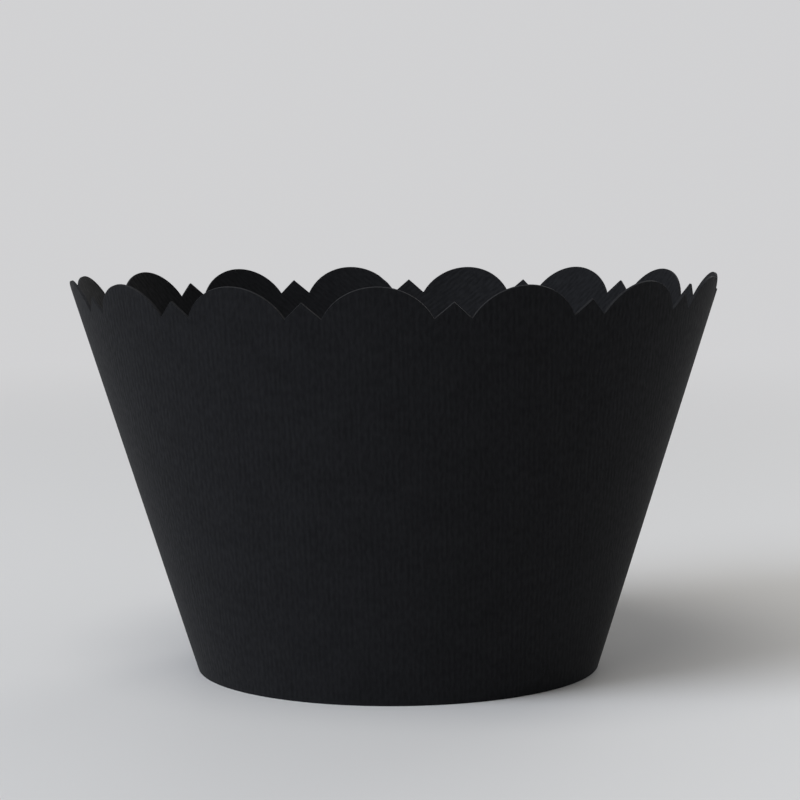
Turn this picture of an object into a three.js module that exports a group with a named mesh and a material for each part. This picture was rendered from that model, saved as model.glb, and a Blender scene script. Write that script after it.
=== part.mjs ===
// Cupcake wrapper. One strip of card is cut with a scalloped top edge, rolled into a
// cone and closed at the back by a tab that is tucked through a slit.
// Millimetres, +Z up, the front at -Y, standing on z = 0.
import * as THREE from 'three';

// Sizes of the sleeve, measured over its outer face.
const overallHeight = 50;
const topDiameter = 82.5;
const baseDiameter = 51.5;
const cardThickness = 0.33;

// Top edge: broad scallops with a small point between each two.
// The rises are measured up the wall from the valleys.
const scallopCount = 15;
const scallopRise = 3.76;
const pointRise = 1.93;
const pointWidth = 4.23;

// Lap at the back. The outer end lies over a plain flap of the inner end.
const lapLength = 14;
const lapGap = 0.12;
const rampLength = 9;
const rampLead = 1;
const flapDrop = 4;
const flapRiseWidth = 2;

// Tab of the outer end, tucked through the slit in the inner layer.
const tabHeight = 14;
const tabCentreHeight = 24;
const tabNeck = 0.6;
const tabReach = 8;
const tabCornerRadius = 4;
const tabBendRadius = 0.4;
const tabDiveAngle = THREE.MathUtils.degToRad(42);
const slitSideClearance = 0.1;
const slitEndClearance = 0.25;

// Fineness of the rolled surface.
const scallopSteps = 16;
const bendSteps = 3;
const cornerSteps = 5;
const widestStep = THREE.MathUtils.degToRad(1.8);
const narrowestStep = THREE.MathUtils.degToRad(0.35);

// The cone of the card's middle surface. Slant is the distance from the cone's apex.
const halfThickness = cardThickness / 2;
const halfAngle = Math.atan((topDiameter - baseDiameter) / 2 / overallHeight);
const sine = Math.sin(halfAngle);
const cosine = Math.cos(halfAngle);
const baseRadius = baseDiameter / 2 - halfThickness / cosine;
const baseSlant = baseRadius / sine;
const tipSlant = baseSlant + (overallHeight - halfThickness * sine) / cosine;
const valleySlant = tipSlant - scallopRise;
const pointSlant = valleySlant + pointRise;
const flapSlant = valleySlant - flapDrop;

// Where things lie around the cone. Turn 0 is the front, and turns grow towards +X.
const pitch = 2 * Math.PI / scallopCount;
const valleyRadius = valleySlant * sine;
const halfPoint = pointWidth / 2 / valleyRadius;
const halfScallop = pitch / 2 - halfPoint;
const backPoint = (Math.floor((scallopCount - 1) / 2) + 0.5) * pitch;
const seamTurn = backPoint + halfPoint - 2 * Math.PI;
const tabRadius = baseRadius + tabCentreHeight * Math.tan(halfAngle);
const startTurn = seamTurn - lapLength / tabRadius;
const endTurn = seamTurn + 2 * Math.PI;
const rampEnd = startTurn + 2 * Math.PI - rampLead / tabRadius;
const rampStart = rampEnd - rampLength / tabRadius;

// The lap sets the two layers one thickness and a gap apart, middle to middle.
const layerStep = cardThickness + lapGap;

// The tab's dive, from its first bend to its second, and the slit it goes through.
const straightDrop = layerStep - tabBendRadius * (1 - Math.cos(tabDiveAngle));
const halfDive = tabBendRadius * Math.sin(tabDiveAngle) + straightDrop / Math.tan(tabDiveAngle);
const slitNeed = halfThickness * (1 + Math.cos(tabDiveAngle)) + slitSideClearance;
const slitWidth = 2 * slitNeed / Math.sin(tabDiveAngle);
const slitTurn = seamTurn + (tabNeck + halfDive) / tabRadius;
const slitStart = slitTurn - slitWidth / 2 / tabRadius;
const slitEnd = slitTurn + slitWidth / 2 / tabRadius;

const tabCentreSlant = baseSlant + tabCentreHeight / cosine;
const tabLowSlant = tabCentreSlant - tabHeight / 2;
const tabHighSlant = tabCentreSlant + tabHeight / 2;
const slitLowSlant = tabLowSlant - slitEndClearance;
const slitHighSlant = tabHighSlant + slitEndClearance;

// A scallop is an arc of a circle in the flat strip, drawn here from the apex.
function scallopEdge(turn) {
  const flatHalfWidth = halfScallop * sine;
  const chordSlant = valleySlant * Math.cos(flatHalfWidth);
  const centreSlant = (tipSlant ** 2 - valleySlant ** 2) / (2 * (tipSlant - chordSlant));
  const arcRadius = tipSlant - centreSlant;
  const flatTurn = turn * sine;
  const across = centreSlant * Math.sin(flatTurn);
  return centreSlant * Math.cos(flatTurn) + Math.sqrt(arcRadius ** 2 - across ** 2);
}

// Height of the top edge, up the wall, at any turn of the strip.
function topEdge(turn) {
  if (turn < seamTurn - 1e-9) {
    return flapSlant;
  }
  const fromScallop = Math.abs(turn - pitch * Math.round(turn / pitch));
  if (fromScallop <= halfScallop) {
    return scallopEdge(fromScallop);
  }
  const fromPoint = Math.abs(pitch / 2 - fromScallop);
  return pointSlant - pointRise * fromPoint / halfPoint;
}

// How far the strip stands out from the cone, with an easy rise onto the lap.
function standOff(turn) {
  const share = THREE.MathUtils.smoothstep(turn, rampStart, rampEnd);
  return layerStep * share;
}

// Turns of the columns across the flap, the rim and the slit, in order.
function wallTurns() {
  const needed = [startTurn, seamTurn - flapRiseWidth / tabRadius, seamTurn];
  const slitTurns = [slitStart, slitEnd];
  const fine = [];
  for (let scallop = 0; scallop < scallopCount; scallop += 1) {
    const first = seamTurn + scallop * pitch;
    needed.push(first + 2 * halfScallop);
    needed.push(first + 2 * halfScallop + halfPoint);
    needed.push(first + pitch);
    for (let step = 1; step < scallopSteps; step += 1) {
      fine.push(first + 2 * halfScallop * step / scallopSteps);
    }
  }
  const fixed = needed.concat(slitTurns);
  for (const turn of fine) {
    const inSlit = turn > slitStart && turn < slitEnd;
    if (!inSlit && fixed.every((other) => Math.abs(other - turn) > narrowestStep)) {
      fixed.push(turn);
    }
  }
  fixed.sort((a, b) => a - b);
  return fillWideSteps(fixed);
}

// Extra columns wherever two are more than the widest step apart, but none in the slit.
function fillWideSteps(turns) {
  const filled = [turns[0]];
  for (let index = 1; index < turns.length; index += 1) {
    const before = turns[index - 1];
    const across = turns[index] - before;
    const parts = before === slitStart ? 1 : Math.ceil(across / widestStep);
    for (let part = 1; part < parts; part += 1) {
      filled.push(before + across * part / parts);
    }
    filled.push(turns[index]);
  }
  return filled;
}

// A column is a straight line up the card: where it is, which way the card runs
// there, and the slants at which it has corners.
function makeColumn(turn, offset, lean, slants) {
  return { turn, offset, lean, slants, corners: [] };
}

function wallColumns() {
  const columns = [];
  for (const turn of wallTurns()) {
    const slants = [baseSlant];
    const besideSlit = turn === slitStart || turn === slitEnd;
    if (besideSlit) {
      slants.push(slitLowSlant, slitHighSlant);
    }
    slants.push(topEdge(turn));
    columns.push(makeColumn(turn, standOff(turn), 0, slants));
  }
  return columns;
}

// Half-height of the tab at a distance from its rounded end.
function tabHalfHeight(fromEnd) {
  const inCorner = Math.max(0, tabCornerRadius - fromEnd);
  const cut = tabCornerRadius - Math.sqrt(tabCornerRadius ** 2 - inCorner ** 2);
  return tabHeight / 2 - cut;
}

function tabColumn(along, offset, lean, halfHeight) {
  const turn = endTurn + along / tabRadius;
  const slants = [tabCentreSlant - halfHeight, tabCentreSlant + halfHeight];
  return makeColumn(turn, offset, lean, slants);
}

// The tab leaves the outer end, dives through the slit and lies along the inside.
function tabColumns() {
  const columns = [];
  const half = tabHeight / 2;
  for (let step = 0; step <= bendSteps; step += 1) {
    const lean = tabDiveAngle * step / bendSteps;
    const along = tabNeck + tabBendRadius * Math.sin(lean);
    const offset = layerStep - tabBendRadius * (1 - Math.cos(lean));
    columns.push(tabColumn(along, offset, lean, half));
  }
  for (let step = bendSteps; step >= 0; step -= 1) {
    const lean = tabDiveAngle * step / bendSteps;
    const along = tabNeck + 2 * halfDive - tabBendRadius * Math.sin(lean);
    const offset = tabBendRadius * (1 - Math.cos(lean)) - layerStep;
    columns.push(tabColumn(along, offset, lean, half));
  }
  const insideStart = tabNeck + 2 * halfDive;
  const straight = tabReach - tabCornerRadius;
  columns.push(tabColumn(insideStart + straight / 2, -layerStep, 0, half));
  for (let step = 0; step <= cornerSteps; step += 1) {
    const swing = Math.PI / 2 * step / cornerSteps;
    const fromEnd = tabCornerRadius * (1 - Math.sin(swing));
    const halfHeight = tabHalfHeight(fromEnd);
    columns.push(tabColumn(insideStart + tabReach - fromEnd, -layerStep, 0, halfHeight));
  }
  return columns;
}

// A corner of one face of the card. The base is cut level, to stand flat.
function cornerPoint(column, slant, side) {
  const reach = side * halfThickness;
  const offset = column.offset + reach * Math.cos(column.lean);
  const turn = column.turn + reach * Math.sin(column.lean) / tabRadius;
  const levelled = slant === baseSlant ? slant + offset * Math.tan(halfAngle) : slant;
  const radius = levelled * sine + offset * cosine;
  const height = (levelled - baseSlant) * cosine - offset * sine;
  return [radius * Math.sin(turn), -radius * Math.cos(turn), height];
}

// Sheet of triangles between columns, each corner once on each face of the card.
class CardSheet {
  constructor() {
    this.outer = [];
    this.inner = [];
    this.triangles = [];
  }

  addColumn(column) {
    for (const slant of column.slants) {
      column.corners.push(this.outer.length);
      this.outer.push(cornerPoint(column, slant, 1));
      this.inner.push(cornerPoint(column, slant, -1));
    }
  }

  // Fills the card between two columns, from a low to a high corner on each.
  fill(left, leftSpan, right, rightSpan) {
    let a = leftSpan[0];
    let b = rightSpan[0];
    while (a < leftSpan[1] || b < rightSpan[1]) {
      const leftNext = a < leftSpan[1] ? left.slants[a + 1] : Infinity;
      const rightNext = b < rightSpan[1] ? right.slants[b + 1] : Infinity;
      if (leftNext < rightNext) {
        this.triangles.push([left.corners[a], right.corners[b], left.corners[a + 1]]);
        a += 1;
      } else {
        this.triangles.push([left.corners[a], right.corners[b], right.corners[b + 1]]);
        b += 1;
      }
    }
  }

  // Edges with card on one side only: the cut edges of the strip.
  cutEdges() {
    const edges = new Map();
    for (const triangle of this.triangles) {
      for (let side = 0; side < 3; side += 1) {
        const from = triangle[side];
        const to = triangle[(side + 1) % 3];
        if (!edges.delete(`${to} ${from}`)) {
          edges.set(`${from} ${to}`, [from, to]);
        }
      }
    }
    return edges.values();
  }

  // The closed body: outer face, inner face and the cut edges between them.
  toGeometry() {
    const count = this.outer.length;
    const index = [];
    for (const [a, b, c] of this.triangles) {
      index.push(a, b, c);
      index.push(count + a, count + c, count + b);
    }
    for (const [from, to] of this.cutEdges()) {
      index.push(from, count + from, to);
      index.push(to, count + from, count + to);
    }
    const positions = this.outer.concat(this.inner).flat();
    const geometry = new THREE.BufferGeometry();
    geometry.setAttribute('position', new THREE.Float32BufferAttribute(positions, 3));
    geometry.setIndex(index);
    geometry.computeVertexNormals();
    return geometry;
  }
}

function makeWrapper() {
  const sheet = new CardSheet();
  const wall = wallColumns();
  const last = wall[wall.length - 1];
  last.slants.splice(1, 0, tabLowSlant, tabHighSlant);
  const tab = tabColumns();
  for (const column of wall.concat(tab)) {
    sheet.addColumn(column);
  }
  for (let index = 1; index < wall.length; index += 1) {
    const left = wall[index - 1];
    const right = wall[index];
    const leftTop = left.slants.length - 1;
    const rightTop = right.slants.length - 1;
    if (left.turn === slitStart) {
      sheet.fill(left, [0, 1], right, [0, 1]);
      sheet.fill(left, [2, leftTop], right, [2, rightTop]);
    } else {
      sheet.fill(left, [0, leftTop], right, [0, rightTop]);
    }
  }
  sheet.fill(last, [1, 2], tab[0], [0, 1]);
  for (let index = 1; index < tab.length; index += 1) {
    sheet.fill(tab[index - 1], [0, 1], tab[index], [0, 1]);
  }
  return sheet.toGeometry();
}

function blackCard() {
  const material = new THREE.MeshStandardMaterial();
  material.color = new THREE.Color('#1e1e21');
  material.roughness = 0.78;
  material.metalness = 0;
  material.name = 'black_card';
  return material;
}

const group = new THREE.Group();
const wrapper = new THREE.Mesh(makeWrapper(), blackCard());
wrapper.name = 'card_sleeve';
group.add(wrapper);

export default group;
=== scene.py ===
"""A cupcake wrapper: one strip of black ribbed card with a scalloped top edge, rolled into a cone.

The strip is laid out flat, rolled and thickened by Geometry Nodes, and its cut edges are softened.
Everything is in metres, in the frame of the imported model: +Z up, the front at -Y.
"""

import math

import bpy
from mathutils import Matrix, Vector


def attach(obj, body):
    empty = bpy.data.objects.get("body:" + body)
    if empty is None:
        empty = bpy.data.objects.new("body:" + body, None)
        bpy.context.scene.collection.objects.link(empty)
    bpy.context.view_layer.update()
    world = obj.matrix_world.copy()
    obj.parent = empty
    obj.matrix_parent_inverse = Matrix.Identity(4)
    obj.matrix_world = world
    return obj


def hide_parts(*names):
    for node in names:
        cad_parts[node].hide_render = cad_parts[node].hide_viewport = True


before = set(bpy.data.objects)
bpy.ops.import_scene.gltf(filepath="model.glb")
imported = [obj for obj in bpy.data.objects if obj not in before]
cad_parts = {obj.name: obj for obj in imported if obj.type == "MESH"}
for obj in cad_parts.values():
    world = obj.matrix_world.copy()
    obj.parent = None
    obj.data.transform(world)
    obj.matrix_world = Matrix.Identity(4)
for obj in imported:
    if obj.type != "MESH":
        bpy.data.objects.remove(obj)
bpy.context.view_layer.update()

MM = 0.001

# The camera, which stands where the photograph was taken.
IMAGE_WIDTH = 800
FOCAL_LENGTH_PIXELS = 2221.4
CAMERA_DISTANCE = 283.34 * MM
CAMERA_HEIGHT = 58.59 * MM
CAMERA_AZIMUTH = math.radians(2.82)
CAMERA_PITCH = math.radians(4.962)
CAMERA_YAW = math.radians(0.101)
CAMERA_ROLL = math.radians(-0.485)
SENSOR_WIDTH = 36.0
NEAREST_SEEN = 10 * MM

# The sleeve, measured over its outer face.
OVERALL_HEIGHT = 50.0 * MM
TOP_DIAMETER = 82.5 * MM
BASE_DIAMETER = 51.5 * MM
CARD_THICKNESS = 0.33 * MM

# The top edge. The rises are measured up the wall from the valleys.
SCALLOP_COUNT = 15
SCALLOP_RISE = 3.76 * MM
POINT_RISE = 1.93 * MM
POINT_WIDTH = 4.23 * MM

# The lap at the back.
LAP_LENGTH = 14.0 * MM
LAP_GAP = 0.12 * MM
RAMP_LENGTH = 9.0 * MM
RAMP_LEAD = 1.0 * MM
FLAP_DROP = 4.0 * MM
FLAP_RISE_WIDTH = 2.0 * MM

# The tab and its slit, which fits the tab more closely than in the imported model.
TAB_HEIGHT = 14.0 * MM
TAB_CENTRE_HEIGHT = 24.0 * MM
TAB_NECK = 0.6 * MM
TAB_REACH = 8.0 * MM
TAB_CORNER_RADIUS = 4.0 * MM
TAB_BEND_RADIUS = 0.4 * MM
TAB_DIVE_ANGLE = math.radians(42)
SLIT_SIDE_CLEARANCE = 0.04 * MM
SLIT_END_CLEARANCE = 0.08 * MM

# Fineness of the rolled card.
SCALLOP_STEPS = 28
POINT_STEPS = 4
BEND_STEPS = 5
TAB_STRAIGHT_STEPS = 4
CORNER_STEPS = 8
WIDEST_STEP = math.radians(1.0)
NARROWEST_STEP = math.radians(0.3)
SHOULDER_HEIGHT = 38.0 * MM
ROWS_BELOW_SLIT = 5
ROWS_IN_TAB = 5
ROWS_TO_SHOULDER = 2
ROWS_TO_RIM = 5
SLIT_LOW_ROW = ROWS_BELOW_SLIT
TAB_LOW_ROW = SLIT_LOW_ROW + 1
TAB_HIGH_ROW = TAB_LOW_ROW + ROWS_IN_TAB
SLIT_HIGH_ROW = TAB_HIGH_ROW + 1
TURN_SLACK = 1e-9
SLANT_SLACK = 0.001 * MM
MERGE_SHARE = 0.01

# The softened cut edges.
EDGE_SOFTNESS = 0.05 * MM
EDGE_SEGMENTS = 2
SHARP_ANGLE = math.radians(60)

# The ribs of the card and their strokes and grain, in millimetres. The wander is in rib pitches.
RIB_PITCH = 0.66
RIB_WANDER = 1.3
STROKE_WIDTH = 0.30
STROKE_LENGTH = 0.8
GRAIN_SIZE = 0.11
RIB_SHARE = 0.34
GRAIN_RELIEF = 0.3

# The finish of the card, with painted light on the rib crests and painted shade in the rib troughs.
CARD_DARK = (0.0050, 0.0051, 0.0057, 1)
CARD_LIGHT = (0.0134, 0.0137, 0.0150, 1)
FIBRE_DARK = (0.006, 0.006, 0.0065, 1)
FIBRE_LIGHT = (0.026, 0.026, 0.027, 1)
CLOUD_SCALE = 220.0
# How much lighter the rib crests are painted: painted light on the crests and painted shade in the troughs.
PAINTED_CREST_LIGHT = 0.5
CLOUD_TONE = 0.6
TROUGH_ROUGHNESS = 0.82
CREST_ROUGHNESS = 0.66
RELIEF_STRENGTH = 0.45
RELIEF_HEIGHT = 0.03 * MM
CARD_SPECULAR = 0.05
SHEEN_WEIGHT = 0.03
SHEEN_ROUGHNESS = 0.5

# The pale surroundings.
FLOOR_RADIUS = 6.0
FLOOR_SIDES = 96
FLOOR_COLOUR = (0.735, 0.722, 0.703, 1)
FLOOR_ROUGHNESS = 0.6
FLOOR_SPECULAR = 0.3
SURROUND_COLOUR = (0.64, 0.64, 0.65, 1)
FADE_START = 0.16
FADE_END = 0.6
ROOM_LIGHT = (0.95, 0.97, 1.0, 1)
ROOM_STRENGTH = 0.22

# The lamps, aimed at the middle of the sleeve: place, width, power and colour.
LAMPS = {
    "window_left": ((-1.36, -0.88, 0.88), 1.12, 26.0, (0.80, 0.87, 1.0)),
    "glow_behind": ((0.60, 1.25, 0.60), 0.7, 3.5, (1.0, 0.99, 0.97)),
    "overhead": ((-0.25, -0.45, 1.2), 0.9, 6.0, (1.0, 0.99, 0.96)),
}

# The cone of the card's middle surface. Slant is the distance from the cone's apex.
HALF_THICKNESS = CARD_THICKNESS / 2
HALF_ANGLE = math.atan((TOP_DIAMETER - BASE_DIAMETER) / 2 / OVERALL_HEIGHT)
SINE = math.sin(HALF_ANGLE)
COSINE = math.cos(HALF_ANGLE)
BASE_RADIUS = BASE_DIAMETER / 2 - HALF_THICKNESS / COSINE
BASE_SLANT = BASE_RADIUS / SINE
TIP_SLANT = BASE_SLANT + (OVERALL_HEIGHT - HALF_THICKNESS * SINE) / COSINE
VALLEY_SLANT = TIP_SLANT - SCALLOP_RISE
POINT_SLANT = VALLEY_SLANT + POINT_RISE
FLAP_SLANT = VALLEY_SLANT - FLAP_DROP
SHOULDER_SLANT = BASE_SLANT + SHOULDER_HEIGHT / COSINE

# Turns round the cone. Turn 0 is the front, and turns grow towards +X.
PITCH = 2 * math.pi / SCALLOP_COUNT
HALF_POINT = POINT_WIDTH / 2 / (VALLEY_SLANT * SINE)
HALF_SCALLOP = PITCH / 2 - HALF_POINT
BACK_POINT = ((SCALLOP_COUNT - 1) // 2 + 0.5) * PITCH
SEAM_TURN = BACK_POINT + HALF_POINT - 2 * math.pi
TAB_RADIUS = BASE_RADIUS + TAB_CENTRE_HEIGHT * math.tan(HALF_ANGLE)
START_TURN = SEAM_TURN - LAP_LENGTH / TAB_RADIUS
END_TURN = SEAM_TURN + 2 * math.pi
RAMP_END = START_TURN + 2 * math.pi - RAMP_LEAD / TAB_RADIUS
RAMP_START = RAMP_END - RAMP_LENGTH / TAB_RADIUS

LAYER_STEP = CARD_THICKNESS + LAP_GAP
STRAIGHT_DROP = LAYER_STEP - TAB_BEND_RADIUS * (1 - math.cos(TAB_DIVE_ANGLE))
HALF_DIVE = TAB_BEND_RADIUS * math.sin(TAB_DIVE_ANGLE) + STRAIGHT_DROP / math.tan(TAB_DIVE_ANGLE)
SLIT_NEED = HALF_THICKNESS * (1 + math.cos(TAB_DIVE_ANGLE)) + SLIT_SIDE_CLEARANCE
SLIT_WIDTH = 2 * SLIT_NEED / math.sin(TAB_DIVE_ANGLE)
SLIT_TURN = SEAM_TURN + (TAB_NECK + HALF_DIVE) / TAB_RADIUS
SLIT_START = SLIT_TURN - SLIT_WIDTH / 2 / TAB_RADIUS
SLIT_END = SLIT_TURN + SLIT_WIDTH / 2 / TAB_RADIUS

TAB_CENTRE_SLANT = BASE_SLANT + TAB_CENTRE_HEIGHT / COSINE
TAB_LOW_SLANT = TAB_CENTRE_SLANT - TAB_HEIGHT / 2
TAB_HIGH_SLANT = TAB_CENTRE_SLANT + TAB_HEIGHT / 2
SLIT_LOW_SLANT = TAB_LOW_SLANT - SLIT_END_CLEARANCE
SLIT_HIGH_SLANT = TAB_HIGH_SLANT + SLIT_END_CLEARANCE


def make_camera():
    data = bpy.data.cameras.new("camera")
    data.sensor_width = SENSOR_WIDTH
    data.lens = SENSOR_WIDTH * FOCAL_LENGTH_PIXELS / IMAGE_WIDTH
    data.clip_start = NEAREST_SEEN
    camera = bpy.data.objects.new("camera", data)
    bpy.context.scene.collection.objects.link(camera)
    ahead = Vector((
        math.sin(CAMERA_YAW) * math.cos(CAMERA_PITCH),
        math.cos(CAMERA_YAW) * math.cos(CAMERA_PITCH),
        -math.sin(CAMERA_PITCH),
    ))
    level_right = Vector((math.cos(CAMERA_YAW), -math.sin(CAMERA_YAW), 0))
    level_up = level_right.cross(ahead)
    right = math.cos(CAMERA_ROLL) * level_right + math.sin(CAMERA_ROLL) * level_up
    up = math.cos(CAMERA_ROLL) * level_up - math.sin(CAMERA_ROLL) * level_right
    turned = Matrix((right, up, -ahead)).transposed().to_4x4()
    turned.translation = Vector((0, -CAMERA_DISTANCE, CAMERA_HEIGHT))
    camera.matrix_world = Matrix.Rotation(CAMERA_AZIMUTH, 4, "Z") @ turned
    bpy.context.scene.camera = camera


def scallop_edge(turn):
    """Slant of a scallop's edge, an arc of a circle in the flat strip, at a turn from its middle."""
    chord_slant = VALLEY_SLANT * math.cos(HALF_SCALLOP * SINE)
    centre_slant = (TIP_SLANT ** 2 - VALLEY_SLANT ** 2) / (2 * (TIP_SLANT - chord_slant))
    arc_radius = TIP_SLANT - centre_slant
    across = centre_slant * math.sin(turn * SINE)
    return centre_slant * math.cos(turn * SINE) + math.sqrt(arc_radius ** 2 - across ** 2)


def top_edge(turn):
    if turn < SEAM_TURN - TURN_SLACK:
        return FLAP_SLANT
    from_scallop = abs(turn - PITCH * round(turn / PITCH))
    if from_scallop <= HALF_SCALLOP:
        return scallop_edge(from_scallop)
    return POINT_SLANT - POINT_RISE * abs(PITCH / 2 - from_scallop) / HALF_POINT


def stand_off(turn):
    """How far the strip stands out from the cone: an easy rise onto the lap."""
    share = min(1, max(0, (turn - RAMP_START) / (RAMP_END - RAMP_START)))
    return LAYER_STEP * share * share * (3 - 2 * share)


def wall_turns():
    """Turns of the columns, at every corner of the edge and of the slit and evenly between them."""
    turns = [START_TURN, SEAM_TURN - FLAP_RISE_WIDTH / TAB_RADIUS, SEAM_TURN, SLIT_START, SLIT_END]
    fine = []
    for scallop in range(SCALLOP_COUNT):
        first = SEAM_TURN + scallop * PITCH
        right_valley = first + 2 * HALF_SCALLOP
        turns += [right_valley, right_valley + HALF_POINT, first + PITCH]
        fine += [first + 2 * HALF_SCALLOP * step / SCALLOP_STEPS for step in range(1, SCALLOP_STEPS)]
        fine += [right_valley + 2 * HALF_POINT * step / POINT_STEPS for step in range(1, POINT_STEPS)]
    for turn in fine:
        in_slit = SLIT_START < turn < SLIT_END
        if not in_slit and all(abs(turn - other) > NARROWEST_STEP for other in turns):
            turns.append(turn)
    turns.sort()
    filled = [turns[0]]
    for before, after in zip(turns, turns[1:]):
        parts = 1 if before == SLIT_START else math.ceil((after - before) / WIDEST_STEP)
        filled += [before + (after - before) * part / parts for part in range(1, parts)]
        filled.append(after)
    return filled


def spread(low, high, steps):
    """Levels from low up to but not at high."""
    return [low + (high - low) * step / steps for step in range(steps)]


def row_slants(turn):
    """Slants of the rows of a column: fixed up to the shoulder, and drawn to the edge above it."""
    rows = spread(BASE_SLANT, SLIT_LOW_SLANT, ROWS_BELOW_SLIT)
    rows += [SLIT_LOW_SLANT]
    rows += spread(TAB_LOW_SLANT, TAB_HIGH_SLANT, ROWS_IN_TAB)
    rows += [TAB_HIGH_SLANT]
    rows += spread(SLIT_HIGH_SLANT, SHOULDER_SLANT, ROWS_TO_SHOULDER)
    rows += spread(SHOULDER_SLANT, top_edge(turn), ROWS_TO_RIM)
    return rows + [top_edge(turn)]


def tab_stations():
    """Where the tab runs, from its neck through the slit: (turn, stand-off, half-height)."""
    half = TAB_HEIGHT / 2
    stations = []
    for step in range(BEND_STEPS + 1):
        lean = TAB_DIVE_ANGLE * step / BEND_STEPS
        along = TAB_NECK + TAB_BEND_RADIUS * math.sin(lean)
        stations.append((along, LAYER_STEP - TAB_BEND_RADIUS * (1 - math.cos(lean)), half))
    for step in range(BEND_STEPS, -1, -1):
        lean = TAB_DIVE_ANGLE * step / BEND_STEPS
        along = TAB_NECK + 2 * HALF_DIVE - TAB_BEND_RADIUS * math.sin(lean)
        stations.append((along, TAB_BEND_RADIUS * (1 - math.cos(lean)) - LAYER_STEP, half))
    inside = TAB_NECK + 2 * HALF_DIVE
    straight = TAB_REACH - TAB_CORNER_RADIUS
    for step in range(1, TAB_STRAIGHT_STEPS):
        stations.append((inside + straight * step / TAB_STRAIGHT_STEPS, -LAYER_STEP, half))
    for step in range(CORNER_STEPS + 1):
        swing = math.pi / 2 * step / CORNER_STEPS
        along = inside + TAB_REACH - TAB_CORNER_RADIUS * (1 - math.sin(swing))
        cut = TAB_CORNER_RADIUS * (1 - math.cos(swing))
        stations.append((along, -LAYER_STEP, half - cut))
    return [(END_TURN + along / TAB_RADIUS, off, height) for along, off, height in stations]


class FlatStrip:
    """The flat blank of the strip, with the place of each point on the rolled cone."""

    def __init__(self):
        self.turns = []
        self.slants = []
        self.offsets = []
        self.faces = []

    def add_column(self, turn, offset, slants):
        first = len(self.turns)
        self.turns += [turn] * len(slants)
        self.offsets += [offset] * len(slants)
        self.slants += slants
        return list(range(first, len(self.turns)))

    def fill(self, left, right):
        for row in range(len(left) - 1):
            self.faces.append((left[row], right[row], right[row + 1], left[row + 1]))

    def to_mesh(self):
        flat = []
        for turn, slant in zip(self.turns, self.slants):
            flat.append((slant * math.sin(turn * SINE), slant * math.cos(turn * SINE), 0.0))
        mesh = bpy.data.meshes.new("flat_strip")
        mesh.from_pydata(flat, [], self.faces)
        for name, values in (("turn", self.turns), ("slant", self.slants), ("stand_off", self.offsets)):
            mesh.attributes.new(name, "FLOAT", "POINT").data.foreach_set("value", values)
        places = mesh.attributes.new("flat_place", "FLOAT_VECTOR", "POINT")
        places.data.foreach_set("vector", [number for point in flat for number in point])
        mesh.polygons.foreach_set("use_smooth", [True] * len(mesh.polygons))
        return mesh


def lay_out_strip():
    strip = FlatStrip()
    turns = wall_turns()
    columns = [strip.add_column(turn, stand_off(turn), row_slants(turn)) for turn in turns]
    for turn, left, right in zip(turns, columns, columns[1:]):
        if turn == SLIT_START:
            strip.fill(left[:SLIT_LOW_ROW + 1], right[:SLIT_LOW_ROW + 1])
            strip.fill(left[SLIT_HIGH_ROW:], right[SLIT_HIGH_ROW:])
        else:
            strip.fill(left, right)
    before = columns[-1][TAB_LOW_ROW:TAB_HIGH_ROW + 1]
    for turn, offset, half in tab_stations():
        rows = [TAB_CENTRE_SLANT - half + 2 * half * row / ROWS_IN_TAB for row in range(ROWS_IN_TAB + 1)]
        column = strip.add_column(turn, offset, rows)
        strip.fill(before, column)
        before = column
    return strip.to_mesh()


class Tree:
    """A node tree in the making, with short calls for its nodes."""

    def __init__(self, name, kind):
        self.tree = bpy.data.node_groups.new(name, kind)

    def add(self, kind, settings=None, inputs=None):
        node = self.tree.nodes.new(kind)
        for name, value in (settings or {}).items():
            setattr(node, name, value)
        for name, value in (inputs or {}).items():
            self.feed(node.inputs[name], value)
        return node

    def feed(self, socket, value):
        if isinstance(value, bpy.types.NodeSocket):
            self.tree.links.new(value, socket)
        else:
            socket.default_value = value

    def math(self, operation, *values):
        node = self.add("ShaderNodeMath", {"operation": operation})
        for index, value in enumerate(values):
            self.feed(node.inputs[index], value)
        return node.outputs[0]

    def value_in(self, name, kind, default=None):
        socket = self.tree.interface.new_socket(name, in_out="INPUT", socket_type=kind)
        if default is not None:
            socket.default_value = default
        return socket.identifier


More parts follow.
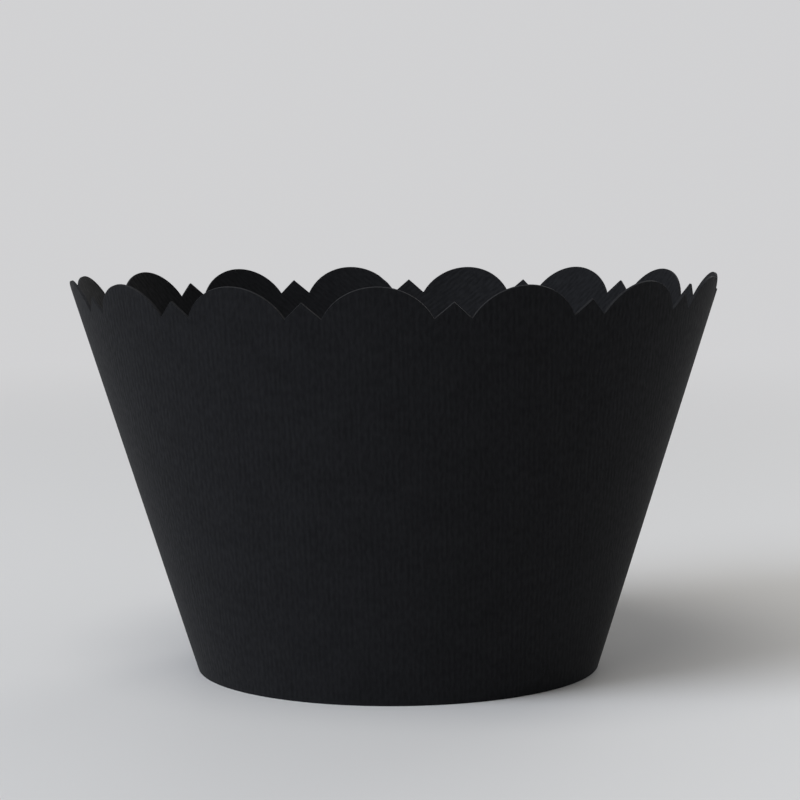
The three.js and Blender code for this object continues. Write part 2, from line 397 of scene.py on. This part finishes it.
def rolling_tree(material):
    """Rolls the flat strip onto its cone, gives it its thickness and levels its lower edge."""
    made = Tree("roll_the_card", "GeometryNodeTree")
    made.tree.is_modifier = True
    made.value_in("Geometry", "NodeSocketGeometry")
    sizes = {
        "Half angle": made.value_in("Half angle", "NodeSocketFloat", 0.3),
        "Base slant": made.value_in("Base slant", "NodeSocketFloat", 0.1),
        "Card thickness": made.value_in("Card thickness", "NodeSocketFloat", 0.0003),
    }
    made.tree.interface.new_socket("Geometry", in_out="OUTPUT", socket_type="NodeSocketGeometry")
    given = made.add("NodeGroupInput").outputs

    def read(name):
        node = made.add("GeometryNodeInputNamedAttribute", {"data_type": "FLOAT"}, {"Name": name})
        return node.outputs["Attribute"]

    sine = made.math("SINE", given["Half angle"])
    cosine = made.math("COSINE", given["Half angle"])
    from_axis = made.math("ADD", made.math("MULTIPLY", read("slant"), sine),
                          made.math("MULTIPLY", read("stand_off"), cosine))
    up_wall = made.math("SUBTRACT", read("slant"), given["Base slant"])
    height = made.math("SUBTRACT", made.math("MULTIPLY", up_wall, cosine),
                       made.math("MULTIPLY", read("stand_off"), sine))
    across = made.math("MULTIPLY", from_axis, made.math("SINE", read("turn")))
    back = made.math("MULTIPLY", from_axis, made.math("COSINE", read("turn")))
    place = made.add("ShaderNodeCombineXYZ", None, {
        "X": across,
        "Y": made.math("MULTIPLY", back, -1.0),
        "Z": height,
    })
    rolled = made.add("GeometryNodeSetPosition", None, {
        "Geometry": given["Geometry"],
        "Position": place.outputs[0],
    })

    normal = made.add("GeometryNodeInputNormal").outputs["Normal"]
    inward = made.add("ShaderNodeVectorMath", {"operation": "SCALE"}, {
        0: normal,
        "Scale": made.math("MULTIPLY", given["Card thickness"], -0.5),
    })
    inner = made.add("GeometryNodeSetPosition", None, {
        "Geometry": rolled.outputs[0],
        "Offset": inward.outputs[0],
    })
    lifted = made.add("GeometryNodeExtrudeMesh", {"mode": "FACES"}, {
        "Mesh": inner.outputs[0],
        "Offset": normal,
        "Offset Scale": given["Card thickness"],
        "Individual": False,
    })
    edged = made.add("GeometryNodeStoreNamedAttribute", {"data_type": "FLOAT", "domain": "FACE"}, {
        "Geometry": lifted.outputs["Mesh"],
        "Name": "cut_edge",
        "Value": lifted.outputs["Side"],
    })
    lining = made.add("GeometryNodeStoreNamedAttribute", {"data_type": "FLOAT", "domain": "FACE"}, {
        "Geometry": made.add("GeometryNodeFlipFaces", None, {"Mesh": inner.outputs[0]}).outputs[0],
        "Name": "cut_edge",
        "Value": 0.0,
    })
    joined = made.add("GeometryNodeJoinGeometry")
    made.tree.links.new(edged.outputs[0], joined.inputs[0])
    made.tree.links.new(lining.outputs[0], joined.inputs[0])
    closed = made.add("GeometryNodeMergeByDistance", None, {
        "Geometry": joined.outputs[0],
        "Distance": made.math("MULTIPLY", given["Card thickness"], MERGE_SHARE),
    })

    position = made.add("GeometryNodeInputPosition").outputs[0]
    parts = made.add("ShaderNodeSeparateXYZ", None, {0: position}).outputs
    level = made.add("ShaderNodeCombineXYZ", None, {"X": parts[0], "Y": parts[1], "Z": 0.0})
    at_base = made.math("LESS_THAN", read("slant"), made.math("ADD", given["Base slant"], SLANT_SLACK))
    levelled = made.add("GeometryNodeSetPosition", None, {
        "Geometry": closed.outputs[0],
        "Selection": at_base,
        "Position": level.outputs[0],
    })
    real = made.add("GeometryNodeRealizeInstances", None, {"Geometry": levelled.outputs[0]})
    dressed = made.add("GeometryNodeSetMaterial", None, {"Geometry": real.outputs[0], "Material": material})
    made.add("NodeGroupOutput", None, {"Geometry": dressed.outputs[0]})
    return made.tree, sizes


def make_sleeve(material):
    """The rolled sleeve as one plain mesh, with softened cut edges."""
    tree, sizes = rolling_tree(material)
    blank = bpy.data.objects.new("blank", lay_out_strip())
    bpy.context.scene.collection.objects.link(blank)
    roll = blank.modifiers.new("roll", "NODES")
    roll.node_group = tree
    roll[sizes["Half angle"]] = HALF_ANGLE
    roll[sizes["Base slant"]] = BASE_SLANT
    roll[sizes["Card thickness"]] = CARD_THICKNESS
    soften = blank.modifiers.new("soften", "BEVEL")
    soften.width = EDGE_SOFTNESS
    soften.segments = EDGE_SEGMENTS
    soften.limit_method = "ANGLE"
    soften.angle_limit = SHARP_ANGLE
    soften.harden_normals = True
    evaluated = blank.evaluated_get(bpy.context.evaluated_depsgraph_get())
    mesh = bpy.data.meshes.new_from_object(evaluated)
    mesh.name = "scalloped_sleeve"
    bpy.data.objects.remove(blank)
    sleeve = bpy.data.objects.new("scalloped_sleeve", mesh)
    bpy.context.scene.collection.objects.link(sleeve)
    return sleeve


def shader_group(name, inputs, outputs):
    """A shader node group with named sockets. Returns it with its input and output nodes."""
    made = Tree(name, "ShaderNodeTree")
    for socket_name, default in inputs.items():
        kind = "NodeSocketVector" if default is None else "NodeSocketFloat"
        made.value_in(socket_name, kind, default)
    for socket_name in outputs:
        made.tree.interface.new_socket(socket_name, in_out="OUTPUT", socket_type="NodeSocketFloat")
    return made, made.add("NodeGroupInput").outputs, made.add("NodeGroupOutput").inputs


def card_ribs_group():
    """Fine ribs that run straight up the flat card, crossed by short raised strokes, and paper grain.

    Place is in metres on the flat card, and the sizes are in millimetres.
    """
    made, given, out = shader_group(
        "card_ribs",
        {
            "Place": None,
            "Rib pitch": RIB_PITCH,
            "Rib wander": RIB_WANDER,
            "Stroke width": STROKE_WIDTH,
            "Stroke length": STROKE_LENGTH,
            "Grain size": GRAIN_SIZE,
        },
        ("Relief", "Crest", "Grain"),
    )
    place = made.add("ShaderNodeVectorMath", {"operation": "SCALE"}, {0: given["Place"], "Scale": 1000.0})
    parts = made.add("ShaderNodeSeparateXYZ", None, {0: place.outputs[0]}).outputs

    rib_place = made.add("ShaderNodeCombineXYZ", None, {
        "X": made.math("DIVIDE", parts[0], given["Rib pitch"]),
        "Y": made.math("MULTIPLY", parts[1], 0.25),
    })
    wander = made.add("ShaderNodeTexNoise", None, {
        "Vector": rib_place.outputs[0], "Scale": 0.45, "Detail": 2.0, "Roughness": 0.5,
    })
    shift = made.math("MULTIPLY", wander.outputs[0], given["Rib wander"])
    in_pitches = made.math("ADD", made.math("DIVIDE", parts[0], given["Rib pitch"]), shift)
    wave = made.math("SINE", made.math("MULTIPLY", in_pitches, 2 * math.pi))
    rib = made.math("MULTIPLY_ADD", wave, 0.5, 0.5)

    stroke_place = made.add("ShaderNodeCombineXYZ", None, {
        "X": made.math("DIVIDE", parts[0], given["Stroke width"]),
        "Y": made.math("DIVIDE", parts[1], given["Stroke length"]),
    })
    strokes = made.add("ShaderNodeTexNoise", None, {
        "Vector": stroke_place.outputs[0], "Scale": 0.8, "Detail": 2.0, "Roughness": 0.55,
    })
    stroke = made.add("ShaderNodeMapRange", {"interpolation_type": "SMOOTHSTEP"}, {
        "Value": strokes.outputs[0], "From Min": 0.32, "From Max": 0.68,
    })
    crest = made.math("MULTIPLY_ADD", rib, RIB_SHARE,
                      made.math("MULTIPLY", stroke.outputs[0], 1 - RIB_SHARE))

    grain_place = made.add("ShaderNodeVectorMath", {"operation": "SCALE"}, {
        0: place.outputs[0], "Scale": made.math("DIVIDE", 1.0, given["Grain size"]),
    })
    grain = made.add("ShaderNodeTexNoise", None, {
        "Vector": grain_place.outputs[0], "Scale": 0.6, "Detail": 3.0, "Roughness": 0.65,
    })
    relief = made.math("ADD", crest, made.math("MULTIPLY", grain.outputs[0], GRAIN_RELIEF))
    made.feed(out["Relief"], relief)
    made.feed(out["Crest"], crest)
    made.feed(out["Grain"], grain.outputs[0])
    return made.tree


class MaterialNodes(Tree):
    """The node tree of a material or of the world, with the same short calls."""

    def __init__(self, owner):
        owner.use_nodes = True
        self.tree = owner.node_tree
        self.tree.nodes.clear()


def black_card():
    material = bpy.data.materials.new("black_ribbed_card")
    nodes = MaterialNodes(material)
    place = nodes.add("ShaderNodeAttribute", {"attribute_name": "flat_place"}).outputs["Vector"]
    cut = nodes.add("ShaderNodeAttribute", {"attribute_name": "cut_edge"}).outputs["Fac"]
    ribs = nodes.add("ShaderNodeGroup", {"node_tree": card_ribs_group()}, {"Place": place}).outputs

    clouds = nodes.add("ShaderNodeTexNoise", None, {
        "Vector": place, "Scale": CLOUD_SCALE, "Detail": 4.0, "Roughness": 0.55,
    })
    cloud_shade = nodes.math("MULTIPLY", clouds.outputs[0], CLOUD_TONE)
    # Painted light on the rib crests and painted shade in the troughs, added to the card's own cloudy tone.
    crest_light_and_cloud_tone = nodes.math("MULTIPLY_ADD", ribs["Crest"], PAINTED_CREST_LIGHT, cloud_shade)
    tone = nodes.add("ShaderNodeMix", {"data_type": "RGBA"}, {"Factor": crest_light_and_cloud_tone})
    nodes.feed(tone.inputs["A"], CARD_DARK)
    nodes.feed(tone.inputs["B"], CARD_LIGHT)
    fibres = nodes.add("ShaderNodeMix", {"data_type": "RGBA"}, {"Factor": ribs["Grain"]})
    nodes.feed(fibres.inputs["A"], FIBRE_DARK)
    nodes.feed(fibres.inputs["B"], FIBRE_LIGHT)
    colour = nodes.add("ShaderNodeMix", {"data_type": "RGBA"}, {
        "Factor": cut, "A": tone.outputs["Result"], "B": fibres.outputs["Result"],
    })
    roughness = nodes.add("ShaderNodeMapRange", None, {
        "Value": ribs["Crest"], "To Min": TROUGH_ROUGHNESS, "To Max": CREST_ROUGHNESS,
    })
    bump = nodes.add("ShaderNodeBump", None, {
        "Strength": RELIEF_STRENGTH, "Distance": RELIEF_HEIGHT, "Height": ribs["Relief"],
    })
    card = nodes.add("ShaderNodeBsdfPrincipled", None, {
        "Base Color": colour.outputs["Result"],
        "Roughness": roughness.outputs[0],
        "Specular IOR Level": CARD_SPECULAR,
        "Sheen Weight": SHEEN_WEIGHT,
        "Sheen Roughness": SHEEN_ROUGHNESS,
        "Normal": bump.outputs[0],
    })
    nodes.add("ShaderNodeOutputMaterial", None, {"Surface": card.outputs[0]})
    return material


def pale_floor_material():
    """A matte pale floor that fades, for the camera and for gloss, into the pale surroundings."""
    material = bpy.data.materials.new("pale_floor")
    nodes = MaterialNodes(material)
    floor = nodes.add("ShaderNodeBsdfPrincipled", None, {
        "Base Color": FLOOR_COLOUR,
        "Roughness": FLOOR_ROUGHNESS,
        "Specular IOR Level": FLOOR_SPECULAR,
    })
    far = nodes.add("ShaderNodeEmission", None, {"Color": SURROUND_COLOUR, "Strength": 1.0})
    place = nodes.add("ShaderNodeTexCoord").outputs["Object"]
    distance = nodes.add("ShaderNodeVectorMath", {"operation": "LENGTH"}, {0: place}).outputs["Value"]
    fade = nodes.add("ShaderNodeMapRange", {"interpolation_type": "SMOOTHSTEP"}, {
        "Value": distance, "From Min": FADE_START, "From Max": FADE_END,
    })
    share = nodes.math("MULTIPLY", fade.outputs[0], seen_rays(nodes))
    mixed = nodes.add("ShaderNodeMixShader", None, {0: share, 1: floor.outputs[0], 2: far.outputs[0]})
    nodes.add("ShaderNodeOutputMaterial", None, {"Surface": mixed.outputs[0]})
    return material


def seen_rays(nodes):
    """1 for rays that show a surface: from the camera, in gloss and through glass."""
    path = nodes.add("ShaderNodeLightPath").outputs
    shown = nodes.math("MAXIMUM", path["Is Camera Ray"], path["Is Glossy Ray"])
    return nodes.math("MAXIMUM", shown, path["Is Transmission Ray"])


def make_floor():
    """A wide pale disc for the sleeve to stand on."""
    points = []
    for step in range(FLOOR_SIDES):
        swing = 2 * math.pi * step / FLOOR_SIDES
        points.append((FLOOR_RADIUS * math.cos(swing), FLOOR_RADIUS * math.sin(swing), 0.0))
    mesh = bpy.data.meshes.new("pale_floor")
    mesh.from_pydata(points, [], [tuple(range(FLOOR_SIDES))])
    mesh.materials.append(pale_floor_material())
    floor = bpy.data.objects.new("pale_floor", mesh)
    bpy.context.scene.collection.objects.link(floor)


def make_lamps():
    """Round soft lamps, aimed at the middle of the sleeve."""
    middle = Vector((0, 0, OVERALL_HEIGHT / 2))
    for name, (place, width, power, colour) in LAMPS.items():
        data = bpy.data.lights.new(name, "AREA")
        data.shape = "DISK"
        data.size = width
        data.energy = power
        data.color = colour
        lamp = bpy.data.objects.new(name, data)
        lamp.location = place
        lamp.rotation_euler = (middle - Vector(place)).to_track_quat("-Z", "Y").to_euler()
        bpy.context.scene.collection.objects.link(lamp)


def make_surroundings():
    """Even, gentle light from all round, which the camera and gloss see as a pale backdrop."""
    world = bpy.data.worlds.new("studio")
    nodes = MaterialNodes(world)
    light = nodes.add("ShaderNodeBackground", None, {"Color": ROOM_LIGHT, "Strength": ROOM_STRENGTH})
    seen = nodes.add("ShaderNodeBackground", None, {"Color": SURROUND_COLOUR, "Strength": 1.0})
    mixed = nodes.add("ShaderNodeMixShader", None, {
        0: seen_rays(nodes), 1: light.outputs[0], 2: seen.outputs[0],
    })
    nodes.add("ShaderNodeOutputWorld", None, {"Surface": mixed.outputs[0]})
    bpy.context.scene.world = world


make_camera()
sleeve = make_sleeve(black_card())
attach(sleeve, "root")
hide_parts("card_sleeve")
make_floor()
make_surroundings()
make_lamps()
bpy.context.scene.view_settings.view_transform = "Standard"
